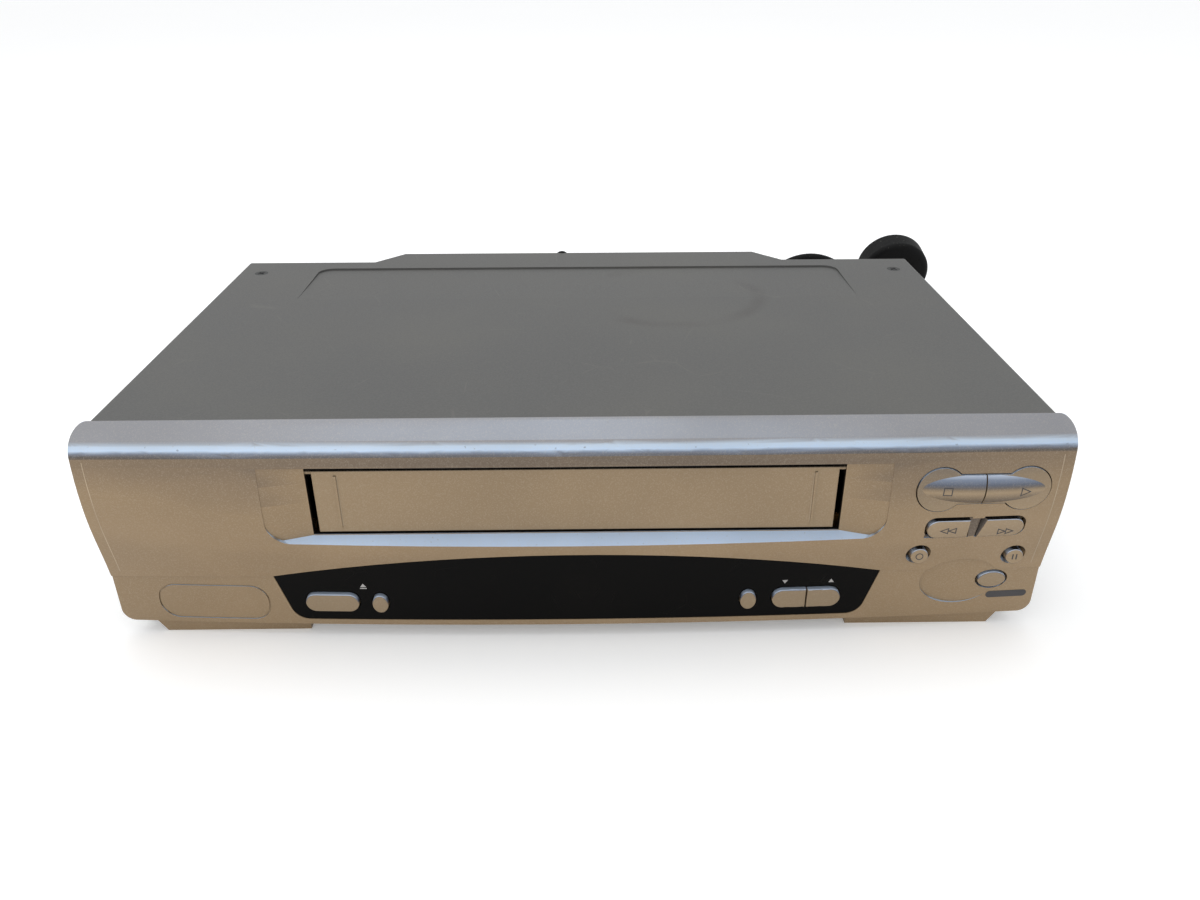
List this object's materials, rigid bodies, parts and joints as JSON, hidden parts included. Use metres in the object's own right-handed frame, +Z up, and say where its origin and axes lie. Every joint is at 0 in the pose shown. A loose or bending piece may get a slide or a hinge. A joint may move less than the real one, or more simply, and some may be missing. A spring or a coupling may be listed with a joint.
{
  "type": "vhs video cassette recorder",
  "caption": "Front-loading video cassette recorder in a low steel case, with a sprung cassette flap, a tape deck inside, push buttons, rear sockets and a fixed mains cord.",
  "frame": {"origin": "middle of the machine's footprint, on the surface that its feet stand on, measured without the mains cord", "axes": "+X to the right seen from the front, +Y to the rear, +Z up"},
  "size_m": [0.3884, 0.2764, 0.0928],
  "materials": {
    "champagne_panel": "metallic paint, satin",
    "grey_cover": "fine textured paint",
    "smoked_window": "polished",
    "silver_buttons": "metallic paint, satin",
    "tray_steel": "zinc plated",
    "black_rubber": "matt",
    "black_plastic": "fine grain",
    "black_steel": "black oxide",
    "board_resin": "solder mask",
    "green_board": "solder mask",
    "tube_glass": "clear",
    "socket_metal": "nickel",
    "deck_steel": "zinc plated",
    "drum_aluminium": "machined",
    "white_nylon": "moulded",
    "black_pvc": "satin",
    "pin_brass": "nickel plated",
    "copper_winding": "taped winding"
  },
  "bodies": {
    "case": {"top_cover": "grey_cover", "front_panel": "champagne_panel", "display_window": "smoked_window", "base_tray": "tray_steel", "front_feet": "champagne_panel", "rear_feet": "black_rubber", "rear_panel": "grey_cover", "scart_socket": "black_plastic", "av_sockets": "socket_metal", "tuner_can": "tray_steel", "aerial_sockets": "socket_metal", "front_board": "board_resin", "tact_switches": "black_plastic", "display_tube": "tube_glass", "main_board": "green_board", "board_components": "black_plastic", "power_transformer": "copper_winding", "heat_sink": "drum_aluminium", "deck_chassis": "deck_steel", "side_brackets": "deck_steel", "lower_drum": "drum_aluminium", "capstan_bearing": "deck_steel", "loading_motor": "deck_steel", "audio_control_head": "deck_steel", "erase_head": "deck_steel", "cover_screws": "black_steel", "cord_grommet": "black_pvc", "mains_cord": "black_pvc", "mains_cord_coil": "black_pvc", "mains_cord_tail": "black_pvc", "mains_plug": "black_pvc", "plug_pins": "pin_brass", "cable_tie": "black_plastic"},
    "flap": {"cassette_flap": "champagne_panel"},
    "slider": {"carriage_slider": "deck_steel"},
    "holder": {"cassette_holder": "deck_steel"},
    "drum": {"upper_drum": "drum_aluminium"},
    "capstan": {"capstan": "deck_steel"},
    "pinch_arm": {"pinch_arm": "deck_steel"},
    "pinch_roller": {"pinch_roller": "black_rubber"},
    "supply_reel": {"supply_reel": "black_plastic"},
    "takeup_reel": {"takeup_reel": "black_plastic"},
    "idler_arm": {"idler_arm": "deck_steel"},
    "idler_wheel": {"idler_wheel": "white_nylon"},
    "cam_gear": {"cam_gear": "white_nylon"},
    "supply_guide": {"supply_guide": "socket_metal"},
    "takeup_guide": {"takeup_guide": "socket_metal"},
    "function_button": {"function_button": "silver_buttons"},
    "eject_button": {"eject_button": "silver_buttons"},
    "tape_speed_button": {"tape_speed_button": "silver_buttons"},
    "channel_down_button": {"channel_down_button": "silver_buttons"},
    "channel_up_button": {"channel_up_button": "silver_buttons"},
    "stop_button": {"stop_button": "silver_buttons"},
    "play_button": {"play_button": "silver_buttons"},
    "rewind_button": {"rewind_button": "silver_buttons"},
    "fast_forward_button": {"fast_forward_button": "silver_buttons"},
    "record_button": {"record_button": "silver_buttons"},
    "pause_button": {"pause_button": "silver_buttons"},
    "auto_return_button": {"auto_return_button": "silver_buttons"}
  },
  "joints": [
    {"name": "flap_hinge", "type": "hinge", "parent": "case", "child": "flap", "pos_m": [0, -0.1061, 0.07395], "axis": [1, 0, 0], "range_deg": [0, 88], "stiffness_Nm_per_rad": 0.02},
    {"name": "carriage_draw", "type": "slide", "parent": "case", "child": "slider", "axis": [0, 1, 0], "range_m": [0, 0.046]},
    {"name": "holder_lower", "type": "slide", "parent": "slider", "child": "holder", "axis": [0, 0, -1], "range_m": [0, 0.02]},
    {"name": "drum_spin", "type": "hinge", "parent": "case", "child": "drum", "pos_m": [0, 0.0561, 0.048], "axis": [0, 0, 1], "continuous": true},
    {"name": "capstan_spin", "type": "hinge", "parent": "case", "child": "capstan", "pos_m": [0.052, 0.0261, 0.03], "axis": [0, 0, 1], "continuous": true},
    {"name": "cam_turn", "type": "hinge", "parent": "case", "child": "cam_gear", "pos_m": [-0.076, 0.0511, 0.026], "axis": [0, 0, 1], "range_deg": [0, 240]},
    {"name": "pinch_swing", "type": "hinge", "parent": "case", "child": "pinch_arm", "pos_m": [0.07, 0.0411, 0.03], "axis": [0, 0, 1], "range_deg": [-20.1, 0]},
    {"name": "pinch_roller_spin", "type": "hinge", "parent": "pinch_arm", "child": "pinch_roller", "pos_m": [0.06098, 0.01249, 0.038], "axis": [0, 0, 1], "continuous": true},
    {"name": "supply_reel_spin", "type": "hinge", "parent": "case", "child": "supply_reel", "pos_m": [-0.046, -0.0449, 0.03], "axis": [0, 0, 1], "continuous": true},
    {"name": "takeup_reel_spin", "type": "hinge", "parent": "case", "child": "takeup_reel", "pos_m": [0.046, -0.0449, 0.03], "axis": [0, 0, 1], "continuous": true},
    {"name": "idler_swing", "type": "hinge", "parent": "case", "child": "idler_arm", "pos_m": [0, -0.0129, 0.027], "axis": [0, 0, 1], "range_deg": [-8, 8]},
    {"name": "idler_wheel_spin", "type": "hinge", "parent": "idler_arm", "child": "idler_wheel", "pos_m": [0, -0.0429, 0.025], "axis": [0, 0, 1], "continuous": true},
    {"name": "supply_guide_load", "type": "slide", "parent": "case", "child": "supply_guide", "axis": [-0.2425, 0.9701, 0], "range_m": [0, 0.0491]},
    {"name": "takeup_guide_load", "type": "slide", "parent": "case", "child": "takeup_guide", "axis": [0.2425, 0.9701, 0], "range_m": [0, 0.0491]},
    {"name": "function_press", "type": "slide", "parent": "case", "child": "function_button", "axis": [0, 1, 0], "range_m": [0, 0.001], "stiffness_N_per_m": 400},
    {"name": "eject_press", "type": "slide", "parent": "case", "child": "eject_button", "axis": [0, 1, 0], "range_m": [0, 0.001], "stiffness_N_per_m": 400},
    {"name": "tape_speed_press", "type": "slide", "parent": "case", "child": "tape_speed_button", "axis": [0, 1, 0], "range_m": [0, 0.001], "stiffness_N_per_m": 400},
    {"name": "channel_down_press", "type": "slide", "parent": "case", "child": "channel_down_button", "axis": [0, 1, 0], "range_m": [0, 0.001], "stiffness_N_per_m": 400},
    {"name": "channel_up_press", "type": "slide", "parent": "case", "child": "channel_up_button", "axis": [0, 1, 0], "range_m": [0, 0.001], "stiffness_N_per_m": 400},
    {"name": "stop_press", "type": "slide", "parent": "case", "child": "stop_button", "axis": [0, 1, 0], "range_m": [0, 0.001], "stiffness_N_per_m": 400},
    {"name": "play_press", "type": "slide", "parent": "case", "child": "play_button", "axis": [0, 1, 0], "range_m": [0, 0.001], "stiffness_N_per_m": 400},
    {"name": "rewind_press", "type": "slide", "parent": "case", "child": "rewind_button", "axis": [0, 1, 0], "range_m": [0, 0.001], "stiffness_N_per_m": 400},
    {"name": "fast_forward_press", "type": "slide", "parent": "case", "child": "fast_forward_button", "axis": [0, 1, 0], "range_m": [0, 0.001], "stiffness_N_per_m": 400},
    {"name": "record_press", "type": "slide", "parent": "case", "child": "record_button", "axis": [0, 1, 0], "range_m": [0, 0.001], "stiffness_N_per_m": 400},
    {"name": "pause_press", "type": "slide", "parent": "case", "child": "pause_button", "axis": [0, 1, 0], "range_m": [0, 0.001], "stiffness_N_per_m": 400},
    {"name": "auto_return_press", "type": "slide", "parent": "case", "child": "auto_return_button", "axis": [0, 1, 0], "range_m": [0, 0.001], "stiffness_N_per_m": 400}
  ],
  "couplings": [
    {"joint": "supply_guide_load", "follows": "cam_turn", "m_per_rad": 0.011698},
    {"joint": "takeup_guide_load", "follows": "cam_turn", "m_per_rad": 0.011698},
    {"joint": "pinch_swing", "follows": "cam_turn", "ratio": -0.083333}
  ]
}
